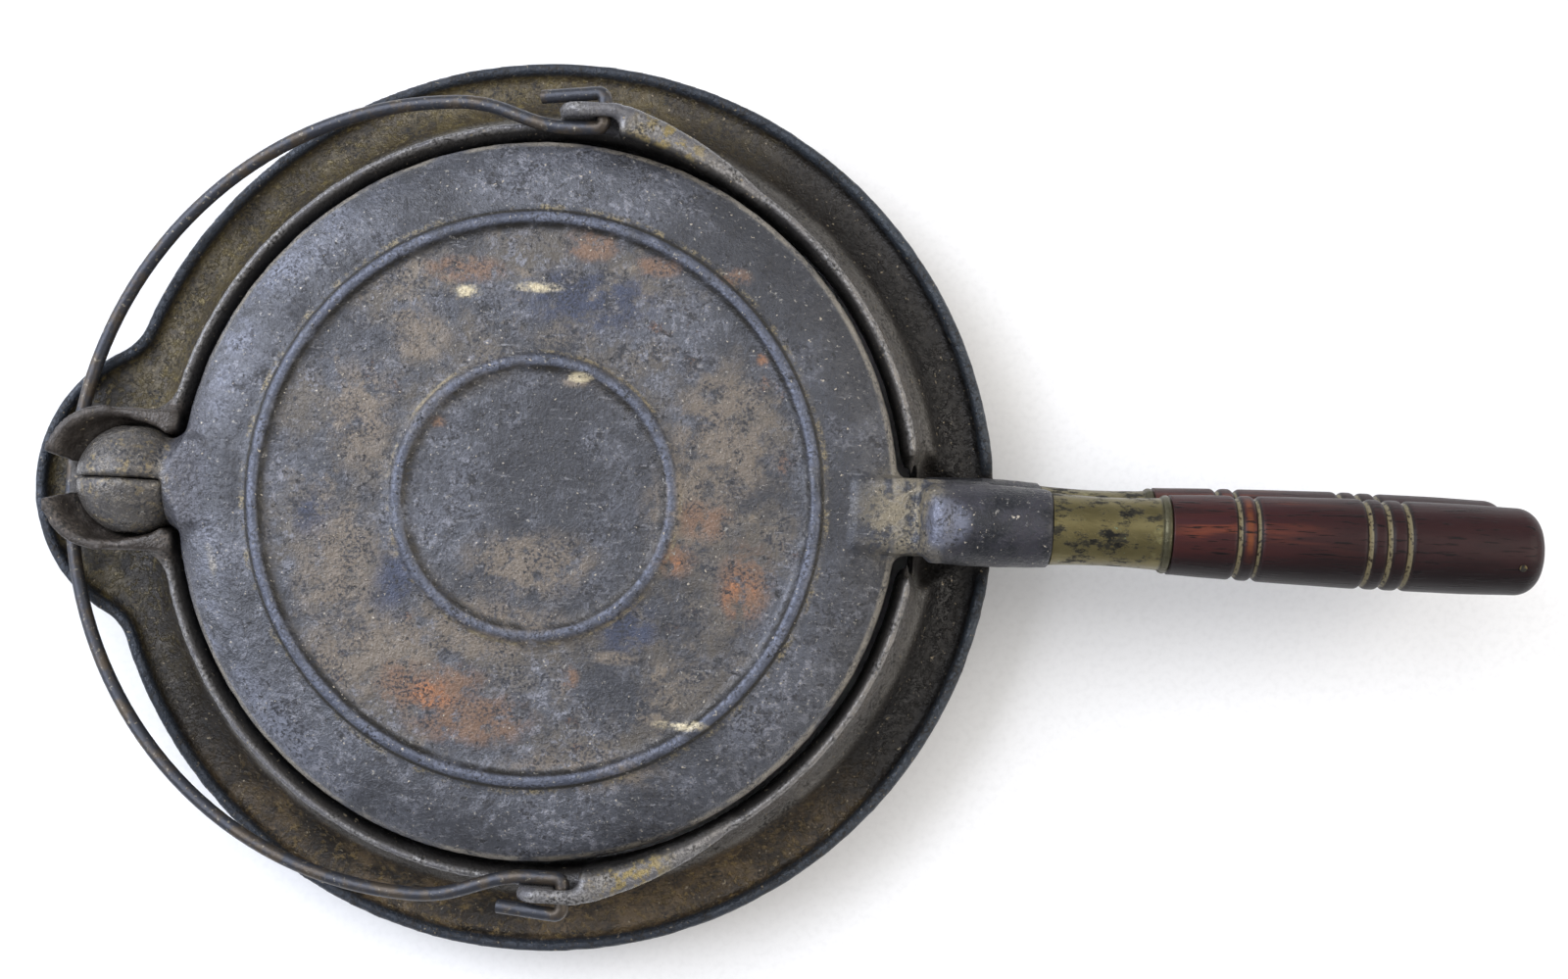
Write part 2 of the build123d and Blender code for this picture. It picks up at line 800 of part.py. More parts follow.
def tang_rod():
    """The iron rod from the stub through the ferrule into the grip."""
    rod = x_cylinder(rod_r, stub_end_x - rod_start, rod_end_x, z=0)
    return handle_axis(rod - brad_shape(brad_clearance))


def brad_shape(clearance=0.0):
    """The brad that pins the grip to its rod, drawn about the handle's axis."""
    tip = rod_r - brad_bite - clearance
    surface = grip_end_r
    shank = Pos(0, 0, tip) * Cylinder(
        brad_shank_r + clearance, surface - tip, align=(Align.CENTER, Align.CENTER, Align.MIN)
    )
    head = Pos(0, 0, surface - brad_head_height / 2 - clearance) * Cylinder(
        brad_head_r + clearance,
        brad_head_height + clearance,
        align=(Align.CENTER, Align.CENTER, Align.MIN),
    )
    return Pos(grip_end_x - brad_from_end, 0, 0) * Rot(brad_angle, 0, 0) * (shank + head)


def brad():
    return handle_axis(brad_shape())


# ---------------------------------------------------------------- parts


def paddle_side(name, is_upper):
    """Every piece that belongs to one paddle, by node name."""
    return {
        f"{name}_paddle": placed(paddle_casting(), is_upper),
        f"{name}_ferrule": placed(ferrule(), is_upper),
        f"{name}_grip": placed(grip(), is_upper),
        f"{name}_tang_rod": placed(tang_rod(), is_upper),
        f"{name}_grip_brad": placed(brad(), is_upper),
    }


parts = {
    "base": base(),
    "bail": bail(),
    "hinge_pin": hinge_pin(),
    **paddle_side("lower", False),
    **paddle_side("upper", True),
}

os.makedirs("parts", exist_ok=True)
for node, shape in parts.items():
    export_step(shape, f"parts/{node}.step")
print(f"bail tilt {bail_tilt():.3f} degrees, handle cut radius {handle_cut_r:.2f}")
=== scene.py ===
import math

import bmesh
import bpy
from mathutils import Matrix, Vector, noise


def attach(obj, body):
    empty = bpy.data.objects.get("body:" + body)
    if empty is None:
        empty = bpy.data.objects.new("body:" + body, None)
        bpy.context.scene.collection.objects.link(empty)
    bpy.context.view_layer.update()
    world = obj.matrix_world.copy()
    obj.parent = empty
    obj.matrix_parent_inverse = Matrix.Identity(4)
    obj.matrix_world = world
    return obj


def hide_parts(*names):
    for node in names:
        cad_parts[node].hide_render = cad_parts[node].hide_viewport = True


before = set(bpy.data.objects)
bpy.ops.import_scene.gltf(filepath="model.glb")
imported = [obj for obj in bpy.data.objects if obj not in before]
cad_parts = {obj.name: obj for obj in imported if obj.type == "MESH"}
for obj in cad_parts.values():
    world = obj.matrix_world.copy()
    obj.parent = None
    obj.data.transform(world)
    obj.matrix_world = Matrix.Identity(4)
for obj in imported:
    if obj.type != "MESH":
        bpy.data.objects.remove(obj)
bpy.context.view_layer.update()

mm = 0.001
axisHeight = 0.048  # the turning axis, where the two paddles part
ballPlace = (-0.1125, 0.0, axisHeight)


# ---- helpers

def linear(code):
    # an sRGB hex value as linear red, green, blue, alpha
    parts = [int(code[i:i + 2], 16) / 255 for i in (1, 3, 5)]
    return (*[p / 12.92 if p <= 0.04045 else ((p + 0.055) / 1.055) ** 2.4 for p in parts], 1.0)


def addNode(tree, kind, inputs=None, **settings):
    node = tree.nodes.new(kind)
    for name, value in settings.items():
        setattr(node, name, value)
    for key, value in (inputs or {}).items():
        if isinstance(value, bpy.types.NodeSocket):
            tree.links.new(value, node.inputs[key])
        else:
            node.inputs[key].default_value = value
    return node


def startMaterial(name):
    # an empty material, its tree, its shader, and where each point is on the piece
    material = bpy.data.materials.new(name)
    material.use_nodes = True
    tree = material.node_tree
    shader = tree.nodes["Principled BSDF"]
    where = addNode(tree, "ShaderNodeTexCoord").outputs["Object"]
    return material, tree, shader, where


def patches(tree, where, size, low, high, detail=4.0, rough=0.6):
    # a cloudy cover from 0 to 1, its clouds this many mm across
    cloud = addNode(tree, "ShaderNodeTexNoise", {
        "Vector": where, "Scale": 1000 / size, "Detail": detail, "Roughness": rough})
    return addNode(tree, "ShaderNodeMapRange", {
        "Value": cloud.outputs[0], "From Min": low, "From Max": high},
        interpolation_type="SMOOTHSTEP").outputs[0]


def zone(tree, value, start, full, fade=None, end=None):
    # 0 at start, 1 at full, and back to 0 between fade and end
    rise = addNode(tree, "ShaderNodeMapRange", {
        "Value": value, "From Min": start, "From Max": full},
        interpolation_type="SMOOTHSTEP").outputs[0]
    if end is None:
        return rise
    fall = addNode(tree, "ShaderNodeMapRange", {
        "Value": value, "From Min": fade, "From Max": end, "To Min": 1.0, "To Max": 0.0},
        interpolation_type="SMOOTHSTEP").outputs[0]
    return both(tree, rise, fall)


def both(tree, *covers):
    # where all of these covers lie, as their product
    result = covers[0]
    for cover in covers[1:]:
        result = addNode(tree, "ShaderNodeMath", {0: result, 1: cover},
                         operation="MULTIPLY").outputs[0]
    return result


def nearPoint(tree, where, point, full, end):
    # 1 within full metres of a point, 0 past end
    far = addNode(tree, "ShaderNodeVectorMath", {0: where, 1: point},
                  operation="DISTANCE").outputs["Value"]
    return addNode(tree, "ShaderNodeMapRange", {
        "Value": far, "From Min": full, "From Max": end, "To Min": 1.0, "To Max": 0.0},
        interpolation_type="SMOOTHSTEP").outputs[0]


def layered(tree, shader, ground, layers):
    # the shader's colour: a ground, and colours over it where their covers say
    colour = linear(ground)
    for cover, code in layers:
        colour = addNode(tree, "ShaderNodeMix", {0: cover, 6: colour, 7: linear(code)},
                         data_type="RGBA").outputs[2]
    tree.links.new(colour, shader.inputs["Base Color"])


def roughened(tree, shader, cover, low, high, polish=None, gain=0.0):
    # roughness from low to high by a cover, and less by gain where it is polished
    rough = addNode(tree, "ShaderNodeMapRange", {
        "Value": cover, "To Min": low, "To Max": high}).outputs[0]
    if polish is not None:
        less = addNode(tree, "ShaderNodeMath", {0: polish, 1: gain},
                       operation="MULTIPLY").outputs[0]
        rough = addNode(tree, "ShaderNodeMath", {0: rough, 1: less},
                        operation="SUBTRACT").outputs[0]
    tree.links.new(rough, shader.inputs["Roughness"])


def relief(tree, shader, layers):
    # bumps stacked on each other: (height, depth in mm)
    normal = None
    for height, depth in layers:
        inputs = {"Height": height, "Distance": depth * mm, "Strength": 1.0}
        if normal is not None:
            inputs["Normal"] = normal
        normal = addNode(tree, "ShaderNodeBump", inputs).outputs[0]
    tree.links.new(normal, shader.inputs["Normal"])


def roundness(tree, where):
    # distance from the upright axis, and the place along each axis
    split = addNode(tree, "ShaderNodeSeparateXYZ", {0: where})
    flat = addNode(tree, "ShaderNodeVectorMath", {0: where, 1: (1, 1, 0)},
                   operation="MULTIPLY").outputs[0]
    radius = addNode(tree, "ShaderNodeVectorMath", {0: flat}, operation="LENGTH").outputs["Value"]
    return radius, split.outputs["X"], split.outputs["Y"], split.outputs["Z"]


# ---- camera: it looks down from 57 cm above the iron, a little from the near side

view = {
    "place": Vector((0.0743, -0.0207, axisHeight + 0.5663)),
    "lens": 47.25, "sensor": 36.0, "nearest": 0.01,
    "roll": 2.85,  # degrees that the iron's long axis falls to the right
    "below": (0.0105, -0.0479),  # where straight down lies from the picture's middle, as slopes
}


def placeCamera():
    down = Vector((*view["below"], -1.0)).normalized()
    roll = math.radians(view["roll"])
    along = Vector((math.cos(roll), -math.sin(roll), 0))
    along = (along - down * along.dot(down)).normalized()
    across = (-down).cross(along)
    turn = Matrix((along, across, -down)).to_4x4()  # camera axes to the iron's
    lens = bpy.data.cameras.new("photo_camera")
    lens.sensor_fit, lens.sensor_width = "HORIZONTAL", view["sensor"]
    lens.lens, lens.clip_start = view["lens"], view["nearest"]
    camera = bpy.data.objects.new("photo_camera", lens)
    bpy.context.scene.collection.objects.link(camera)
    camera.matrix_world = Matrix.Translation(view["place"]) @ turn
    bpy.context.scene.camera = camera


placeCamera()
bpy.context.scene.view_settings.view_transform = "Standard"
print("camera placed")


# ---- floor and lights

studio = {
    "floorSize": 6.0, "floorHeight": -0.0002, "floorColour": "#f4f4f3", "floorGrain": "#efefee",
    "sky": 0.45, "skyColour": "#f3f6ff", "aim": Vector((0, 0, 0.04)),
    "lamps": [  # place, size in m, watts, colour
        ("window_left", (-0.95, 0.30, 0.85), (1.2, 1.2), 25.0, "#e9eefb"),
        ("window_high", (-0.20, 0.55, 1.25), (1.1, 1.1), 5.0, "#ffffff"),
        ("fill_right", (1.1, 0.10, 0.95), (1.2, 1.2), 13.0, "#fdf6ec"),
    ],
}


def lightStudio():
    bpy.ops.mesh.primitive_plane_add(size=studio["floorSize"],
                                     location=(0, 0, studio["floorHeight"]))
    floor = bpy.context.object
    floor.name = "pale_floor"
    # Matt paper, so pale that only the soft shadow shows.
    material, tree, shader, where = startMaterial("pale_matt_paper")
    grain = patches(tree, where, 2.0, 0.3, 0.7)
    layered(tree, shader, studio["floorColour"], [(both(tree, grain, grain), studio["floorGrain"])])
    shader.inputs["Roughness"].default_value = 0.9
    floor.data.materials.append(material)
    world = bpy.data.worlds.new("studio_sky")
    world.use_nodes = True
    sky = world.node_tree.nodes["Background"]
    sky.inputs["Color"].default_value = linear(studio["skyColour"])
    sky.inputs["Strength"].default_value = studio["sky"]
    bpy.context.scene.world = world
    for name, place, size, watts, colour in studio["lamps"]:
        data = bpy.data.lights.new(name, "AREA")
        data.shape, data.size, data.size_y = "RECTANGLE", *size
        data.energy, data.color = watts, linear(colour)[:3]
        lamp = bpy.data.objects.new(name, data)
        bpy.context.scene.collection.objects.link(lamp)
        lamp.location = place
        toIron = studio["aim"] - Vector(place)
        lamp.rotation_euler = toIron.to_track_quat("-Z", "Y").to_euler()


lightStudio()
print("floor and lights placed")


# ---- materials

wear = {  # marks on the upper casting's back: x, y, half length and half width in mm
    "rust": [
        (-22, 61, 12, 4), (12, 69, 8, 5), (30, 64, 8, 3), (51, 62, 5, 3), (66, 63, 2, 2),
        (60, 40, 2, 2), (39, -15, 6, 5), (58, -21, 8, 12), (46, -4, 8, 6), (12, -48, 3, 4),
        (-22, -53, 14, 8), (-14, -60, 18, 8), (-33, -52, 8, 7), (-27, 19, 3, 2),
    ],
    "ember": [(-24, -54, 7, 4), (57, -24, 5, 7), (60, 40, 2, 2), (38, -16, 3, 3)],
    "tan": [
        (-33, 42, 9, 8), (-6, 61, 4, 2), (57, 27, 6, 5), (10, 32, 6, 2), (24, -42, 7, 2),
        (42, -1, 13, 14), (-52, -22, 12, 18), (-12, -36, 26, 9), (17, -72, 22, 6),
        (86, 59, 6, 17), (-40, -44, 22, 14), (50, 20, 16, 20), (-48, 20, 10, 16),
        (0, -18, 20, 10),
    ],
    "cream": [
        (-21, 55, 4, 2), (-2, 57, 7, 1.6), (-89, -23, 4, 6), (43, -59, 8, 1.6), (11, 33, 4, 1.5),
    ],
    "blue": [(-59, -8, 6, 8), (12, 54, 20, 10), (27, -34, 9, 8), (-37, -26, 7, 11)],
}
noWear = {kind: [] for kind in wear}
overReach = 1.3  # how far past its ellipse a mark may reach, as a share of it


def marks(tree, where, places, edge):
    # 1 on each of these places, ragged at the edge
    cover = None
    for x, y, length, width in places:
        local = addNode(tree, "ShaderNodeMapping", {
            "Vector": where, "Location": (-x / length, -y / width, 0),
            "Scale": (1000 / length, 1000 / width, 0)}).outputs[0]
        far = addNode(tree, "ShaderNodeVectorMath", {0: local}, operation="LENGTH").outputs["Value"]
        near = addNode(tree, "ShaderNodeMath", {0: overReach, 1: far},
                       operation="SUBTRACT").outputs[0]
        if cover is not None:
            near = addNode(tree, "ShaderNodeMath", {0: cover, 1: near},
                           operation="MAXIMUM").outputs[0]
        cover = near
    if cover is None:
        return addNode(tree, "ShaderNodeValue").outputs[0]
    return zone(tree, both(tree, cover, edge), 0.06, 0.75)


paddleBands = {  # distances from the upright axis where a band starts, is full, fades and ends
    "flat": (0.030, 0.040, 0.070, 0.077),
    "footShade": (0.0725, 0.0738, 0.0742, 0.0752), "smallFootShade": (0.0330, 0.0350, 0.0355, 0.0362),
    "foot": (0.0772, 0.0777, 0.0781, 0.0786),
    "dust": (0.0780, 0.0786, 0.0792, 0.0802), "dustInner": (0.0390, 0.0394, 0.0398, 0.0404),
    "circles": (0.030, 0.033, 0.078, 0.080),
    "limb": (0.084, 0.095), "edge": (0.0962, 0.0972, 0.0995, 0.1005),
}
handleRoot = (0.103, 0.0, axisHeight + 0.014)
stopPlace = (0.1095, -0.0016, axisHeight + 0.0262)


def seasonedIron(name, dust, placed):
    # Sand-cast iron, seasoned and worn: blue-grey with a dull oily sheen, brown and rust
    # patches, pale specks, and a grain as coarse as moulding sand.
    material, tree, shader, where = startMaterial(name)
    radius, along, across, height = roundness(tree, where)
    offset = addNode(tree, "ShaderNodeMath", {0: height, 1: axisHeight},
                     operation="SUBTRACT").outputs[0]
    rise = addNode(tree, "ShaderNodeMath", {0: offset}, operation="ABSOLUTE").outputs[0]
    band = {key: zone(tree, radius, *places) for key, places in paddleBands.items()}
    back = zone(tree, offset, 0.0115, 0.0125)
    broad = patches(tree, where, 38, 0.38, 0.66, 5)
    mottled = patches(tree, where, 9, 0.40, 0.64, 6, 0.7)
    sand = patches(tree, where, 0.9, 0.42, 0.62, 3, 0.6)
    specks = patches(tree, where, 1.2, 0.700, 0.75, 2, 0.5)
    warm = patches(tree, where, 30, 0.42, 0.60, 6, 0.72)
    grit = patches(tree, where, 2.4, 0.50, 0.62, 4, 0.7)
    soot = patches(tree, where, 4.5, 0.52, 0.62, 6, 0.75)
    pale = patches(tree, where, 1.7, 0.62, 0.70, 4, 0.7)
    dark = patches(tree, where, 2.0, 0.58, 0.68, 4, 0.7)
    streaked = addNode(tree, "ShaderNodeMapping", {
        "Vector": where, "Scale": (0.18, 1.0, 1.0)}).outputs[0]
    scuffs = patches(tree, streaked, 1.6, 0.60, 0.70, 3)
    ragged = patches(tree, where, 5, 0.30, 0.62, 6, 0.7)
    broken = patches(tree, where, 12, 0.34, 0.54, 5)
    placedMarks = {key: both(tree, back, marks(tree, where, places, ragged))
                   for key, places in placed.items()}
    tan = both(tree, patches(tree, where, 26, 0.52, 0.62, 6, 0.72),
               patches(tree, where, 3, 0.40, 0.62, 4), band["flat"])
    rust = both(tree, patches(tree, where, 18, 0.63, 0.70, 5, 0.7),
                patches(tree, where, 4, 0.42, 0.6, 4), band["flat"])
    dustLine = both(tree, band["dust"], patches(tree, where, 9, 0.48, 0.62, 6, 0.85))
    dustInner = both(tree, band["dustInner"], patches(tree, where, 14, 0.48, 0.58, 6, 0.8))
    crest = both(tree, zone(tree, rise, 0.0137, 0.0150), band["circles"])
    limb = both(tree, band["limb"], zone(tree, along, -0.02, -0.09))
    edgeWear = both(tree, band["edge"], zone(tree, offset, 0.002, 0.004), broken)
    ballWear = nearPoint(tree, where, ballPlace, 0.0156, 0.018)
    crust = both(tree, nearPoint(tree, where, ballPlace, 0.017, 0.021), mottled,
                 patches(tree, where, 2.6, 0.50, 0.62, 5, 0.7))
    tabShade = zone(tree, along, -0.086, -0.096)
    powder = both(tree, nearPoint(tree, where, handleRoot, 0.006, 0.020),
                  patches(tree, where, 4, 0.38, 0.55, 5))
    scale = zone(tree, along, 0.1085, 0.1115)
    stopHighlight = nearPoint(tree, where, stopPlace, 0.005, 0.009)
    layered(tree, shader, "#3b3c40", [
        (broad, "#4f5157"),
        (both(tree, mottled, broad), "#64666e"),
        (both(tree, band["flat"], warm), "#55504a"),
        (both(tree, band["flat"], warm, mottled), "#655f58"),
        (both(tree, grit, broad), "#75767d"),
        (both(tree, soot, mottled), "#38383a"),
        (both(tree, scuffs, mottled), "#7d7d80"),
        (tan, "#6f665b"),
        (rust, "#70584a"),
        (placedMarks["blue"], "#3d4252"),
        (placedMarks["tan"], "#6d645a"),
        (placedMarks["rust"], "#705a4b"),
        (both(tree, placedMarks["ember"], mottled), "#a06c48"),
        (both(tree, crest, broken), "#4b4f5b"),
        (both(tree, crest, mottled), "#686d7c"),
        # painted sheen: the left shoulder lighter and bluer, where the left lamp's reflection falls
        (both(tree, limb, mottled), "#7a7e8b"),
        (edgeWear, "#857f74"),
        # painted shade: the tab end darker
        (tabShade, "#45464c"),
        (both(tree, tabShade, mottled), "#5a5a60"),
        # painted shade and grime: dark lines in the creases at the feet of the beads
        (both(tree, band["footShade"], broken), "#2b2926"),
        (both(tree, band["smallFootShade"], broken), "#2f2c28"),
        (band["foot"], "#33312d"),
        (dustLine, "#857a60"),
        (dustInner, "#776d58"),
        (ballWear, "#55524f"),
        (both(tree, ballWear, grit), "#6b665f"),
        (crust, "#857758"),
        (powder, dust),
        (placedMarks["cream"], "#bdb193"),
        (scale, "#222327"),
        (both(tree, scale, mottled), "#35333a"),
        # painted highlight: a lighter blue-grey spot on top of the thumb stop
        (stopHighlight, "#686b78"),
        (both(tree, sand, mottled), "#303136"),
        (pale, "#85827c"),
        (dark, "#2c2c2e"),
        (specks, "#a0988a"),
    ])
    shader.inputs["Metallic"].default_value = 0.35
    roughened(tree, shader, mottled, 0.30, 0.50, both(tree, limb, limb), 0.10)
    relief(tree, shader, [
        (patches(tree, where, 5, 0.3, 0.7, 5), 0.14), (grit, 0.08), (dark, -0.06), (sand, 0.06)])
    return material


ringBands = {  # as for the paddles, with the painted shade in the gap first
    "lip": (0.1024, 0.1008), "collar": (0.1022, 0.1034, 0.112, 0.116),
    "slope": (0.1022, 0.1034, 0.118, 0.121), "trough": (0.1045, 0.112), "rim": (0.121, 0.1222),
}
ringLevels = {  # heights, in the same order
    "under": (0.0232, 0.0215), "trough": (0.023, 0.0245, 0.0265, 0.0315),
    "rim": (0.0250, 0.0268, 0.0282, 0.0290), "slope": (0.0262, 0.031),
    "collar": (0.030, 0.042), "cup": (0.040, 0.048),
}
earPlace = (0.031, 0.0985, 0.058)


def drippingIron(name):
    # Cast iron under years of baked-on batter and oil: blue-black rim, olive-brown
    # trough, and a collar rubbed grey.
    material, tree, shader, where = startMaterial(name)
    radius, along, across, height = roundness(tree, where)
    band = {key: zone(tree, radius, *places) for key, places in ringBands.items()}
    level = {key: zone(tree, height, *places) for key, places in ringLevels.items()}
    mottled = patches(tree, where, 8, 0.38, 0.62, 6, 0.7)
    broad = patches(tree, where, 45, 0.36, 0.64, 5)
    sand = patches(tree, where, 0.9, 0.40, 0.62, 3)
    specks = patches(tree, where, 1.4, 0.66, 0.74, 2)
    scraped = patches(tree, where, 20, 0.38, 0.60, 5)
    leaning = addNode(tree, "ShaderNodeMath", {0: across, 1: along},
                      operation="SUBTRACT").outputs[0]
    falling = addNode(tree, "ShaderNodeMath", {0: across, 1: along}, operation="ADD").outputs[0]
    leftLightAndCrust = zone(tree, leaning, 0.02, 0.13)
    lowLeft = zone(tree, falling, -0.07, -0.13)
    nearSide = zone(tree, across, -0.06, -0.11)
    rightLightAndShade = zone(tree, along, 0.02, 0.10)
    spout = zone(tree, along, -0.112, -0.124)
    trough, rim, slope = [both(tree, band[key], level[key]) for key in ("trough", "rim", "slope")]
    rubbed = both(tree, level["collar"], band["collar"])
    baked = both(tree, trough, patches(tree, where, 5, 0.36, 0.56, 6, 0.7), scraped)
    crumbs = both(tree, trough, patches(tree, where, 1.8, 0.50, 0.62, 4, 0.7))
    cup = both(tree, nearPoint(tree, where, ballPlace, 0.0225, 0.028), level["cup"])
    x, y, z = earPlace
    ears = [nearPoint(tree, where, (x, side * y, z), 0.004, 0.016) for side in (1, -1)]
    earDust = addNode(tree, "ShaderNodeMath", {0: ears[0], 1: ears[1]}, operation="ADD").outputs[0]
    earDust = both(tree, earDust, patches(tree, where, 3, 0.46, 0.60, 5))
    layered(tree, shader, "#3a3837", [
        (broad, "#494643"),
        (slope, "#5f5d59"),
        (both(tree, slope, broad), "#7d7a75"),
        # painted highlight: the slope lighter towards the left lamp
        (both(tree, slope, leftLightAndCrust, mottled), "#8f8d88"),
        (rubbed, "#5c5b5e"),
        # painted light: the collar lighter on the right
        (both(tree, rubbed, rightLightAndShade), "#7d7872"),
        (both(tree, rubbed, mottled), "#83817f"),
        (trough, "#352f27"),
        # painted light: the trough lighter towards the left lamp
        (both(tree, trough, leftLightAndCrust), "#40382a"),
        (both(tree, trough, nearSide), "#4a3f32"),
        # painted shade: the trough darker on the lower left
        (both(tree, trough, lowLeft), "#241f19"),
        # painted shadow: the trough near black on the right, where the collar shades it from the
        # left lamp
        (both(tree, trough, rightLightAndShade), "#141211"),
        (both(tree, trough, spout), "#1f1d1c"),
        # baked crust, olive and lighter on the upper left: crust colour and painted light
        (both(tree, baked, leftLightAndCrust), "#5b5138"),
        (both(tree, baked, nearSide), "#63543f"),
        (both(tree, crumbs, leftLightAndCrust), "#6f6340"),
        (both(tree, crumbs, nearSide), "#73613f"),
        (cup, "#35302c"),
        (both(tree, cup, mottled), "#57504a"),
        (earDust, "#85774f"),
        (rim, "#2c323b"),
        # painted light: the rim lighter on the right
        (both(tree, rim, rightLightAndShade), "#353b42"),
        # painted shade: near black on the collar's inner wall, in the gap beside the paddle
        (band["lip"], "#151413"),
        (level["under"], "#2b2928"),
        (both(tree, sand, mottled), "#2a2826"),
        (specks, "#857a66"),
    ])
    shader.inputs["Metallic"].default_value = 0.3
    roughened(tree, shader, mottled, 0.34, 0.56, slope, 0.17)
    relief(tree, shader, [
        (patches(tree, where, 4, 0.3, 0.7, 5), 0.12), (crumbs, 0.12), (sand, 0.06)])
    return material


def oxidisedWire(name):
    # Drawn steel wire gone dark, with a brown bloom and a thin shine along its top.
    material, tree, shader, where = startMaterial(name)
    bloom = patches(tree, where, 7, 0.45, 0.62, 5)
    rubs = patches(tree, where, 1.2, 0.6, 0.7)
    layered(tree, shader, "#3a3c42", [(bloom, "#4c443b"), (rubs, "#7b7568")])
    shader.inputs["Metallic"].default_value = 0.6
    shader.inputs["Roughness"].default_value = 0.42
    relief(tree, shader, [(patches(tree, where, 1.5, 0.3, 0.7), 0.05)])
    return material


def tarnishedBrass(name):
    # Spun brass gone olive, with near-black blotches and a trace of verdigris.
    material, tree, shader, where = startMaterial(name)
    drawnOut = addNode(tree, "ShaderNodeMapping", {
        "Vector": where, "Scale": (0.55, 1.0, 1.0)}).outputs[0]
    along = addNode(tree, "ShaderNodeSeparateXYZ", {0: where}).outputs["X"]
    blotch = patches(tree, drawnOut, 4.0, 0.49, 0.59, 6, 0.75)
    streak = patches(tree, drawnOut, 2.2, 0.5, 0.62, 5)
    endLine = zone(tree, along, 0.1672, 0.1680)
    layered(tree, shader, "#5f5738", [
        (patches(tree, where, 9, 0.40, 0.62, 5), "#686040"),
        (blotch, "#302e26"), (both(tree, streak, blotch), "#191816"),
        (patches(tree, where, 11, 0.62, 0.70, 5), "#7a7450"),
        (patches(tree, where, 1.6, 0.68, 0.76), "#6f8a78"),
        (endLine, "#4a4735"),
    ])
    shader.inputs["Metallic"].default_value = 0.75
    roughened(tree, shader, blotch, 0.34, 0.62)
    relief(tree, shader, [(blotch, 0.04), (streak, 0.03)])
    return material


def stainedHardwood(name, middle):
    # Turned hardwood under an old red-brown shellac: long dark pores, rubbed orange where the
    # hand wears it, painted light on top and painted shade near black underneath, and pale dust set
    # in the grooves.
    material, tree, shader, where = startMaterial(name)
    middleY, middleZ = middle
    stretched = addNode(tree, "ShaderNodeMapping", {
        "Vector": where, "Scale": (0.09, 1.0, 1.0)}).outputs[0]
    grain = patches(tree, stretched, 3.2, 0.36, 0.64, 6, 0.65)
    pores = patches(tree, stretched, 0.8, 0.56, 0.66, 3)
    clouds = patches(tree, where, 16, 0.40, 0.64, 5)
    split = addNode(tree, "ShaderNodeSeparateXYZ", {0: where})
    along = split.outputs["X"]
    axis = addNode(tree, "ShaderNodeCombineXYZ", {
        "X": along, "Y": middleY, "Z": middleZ}).outputs[0]
    depth = addNode(tree, "ShaderNodeVectorMath", {0: where, 1: axis},
                    operation="DISTANCE").outputs["Value"]
    turned = addNode(tree, "ShaderNodeMapRange", {
        "Value": along, "From Min": 0.200, "From Max": 0.215,
        "To Min": 0.0113, "To Max": 0.0121}).outputs[0]
    sunk = addNode(tree, "ShaderNodeMath", {0: turned, 1: depth}, operation="SUBTRACT").outputs[0]
    grooved = zone(tree, along, 0.1862, 0.1866, 0.2340, 0.2344)
    grooveEdge = both(tree, zone(tree, sunk, 0.0001, 0.0003), grooved)
    filler = both(tree, zone(tree, sunk, 0.00052, 0.00082), grooved,
                  patches(tree, where, 1.1, 0.34, 0.52))
    glow = zone(tree, along, 0.225, 0.172)
    towardLight = zone(tree, split.outputs["Y"], middleY - 0.009, middleY + 0.001)
    lit = both(tree, zone(tree, split.outputs["Z"], middleZ - 0.004, middleZ + 0.008), towardLight)
    rubbedBead = both(tree, zone(tree, along, 0.1890, 0.1900, 0.1906, 0.1916), clouds)
    rubbed = both(tree, zone(tree, sunk, 0.0009, 0.0002),
                  patches(tree, stretched, 7, 0.52, 0.64, 4), glow)
    layered(tree, shader, "#170f10", [
        # painted light and shade: the top and the side towards the lamps lighter, the rest near
        # black; the rubbed colours show only on that lit side
        (lit, "#241415"),
        (both(tree, lit, clouds), "#2d191a"),
        (both(tree, glow, lit), "#34181a"),
        (both(tree, grain, glow, lit), "#48201b"),
        (both(tree, grain, lit), "#2b1717"),
        (both(tree, rubbed, lit), "#663220"),
        (both(tree, lit, rubbedBead), "#6b3c22"),
        (pores, "#110a0b"),
        (grooveEdge, "#1c1211"),
        (filler, "#736a50"),
    ])
    shader.inputs["Roughness"].default_value = 0.44
    shader.inputs["Specular IOR Level"].default_value = 0.15
    shader.inputs["Coat Weight"].default_value = 0.05
    shader.inputs["Coat Roughness"].default_value = 0.25
    relief(tree, shader, [(grain, 0.03), (pores, 0.04)])
    return material


def dullSteel(name, colourCode):
    # Small steel pieces, dull with age.
    material, tree, shader, where = startMaterial(name)
    layered(tree, shader, colourCode, [(patches(tree, where, 1.5, 0.45, 0.6), "#3b3935")])
    shader.inputs["Metallic"].default_value = 0.8
    shader.inputs["Roughness"].default_value = 0.45
    return material


# ---- castings: soft-edged skins over the fixed solids

castings = {  # voxel is the skin's finest detail, in mm
    "ring_casting": {
        "node": "base", "body": "base", "slot": "ring_iron", "voxel": 1.1,
        "material": drippingIron("baked_cast_iron")},
    "upper_casting": {
        "node": "upper_paddle", "body": "upper_paddle", "slot": "paddle_iron", "voxel": 1.0,
        "material": seasonedIron("seasoned_cast_iron", "#857c69", wear)},
    "lower_casting": {
        "node": "lower_paddle", "body": "lower_paddle", "slot": "paddle_iron", "voxel": 1.0,
        "material": seasonedIron("seasoned_cast_iron_lower", "#7d766a", noWear)},
}
sandCast = {  # weld and lump in m, uneven in mm
    "weld": 1e-6, "softness": 0.5, "passes": 3, "lump": 0.006, "depth": 2, "uneven": 0.35,
}


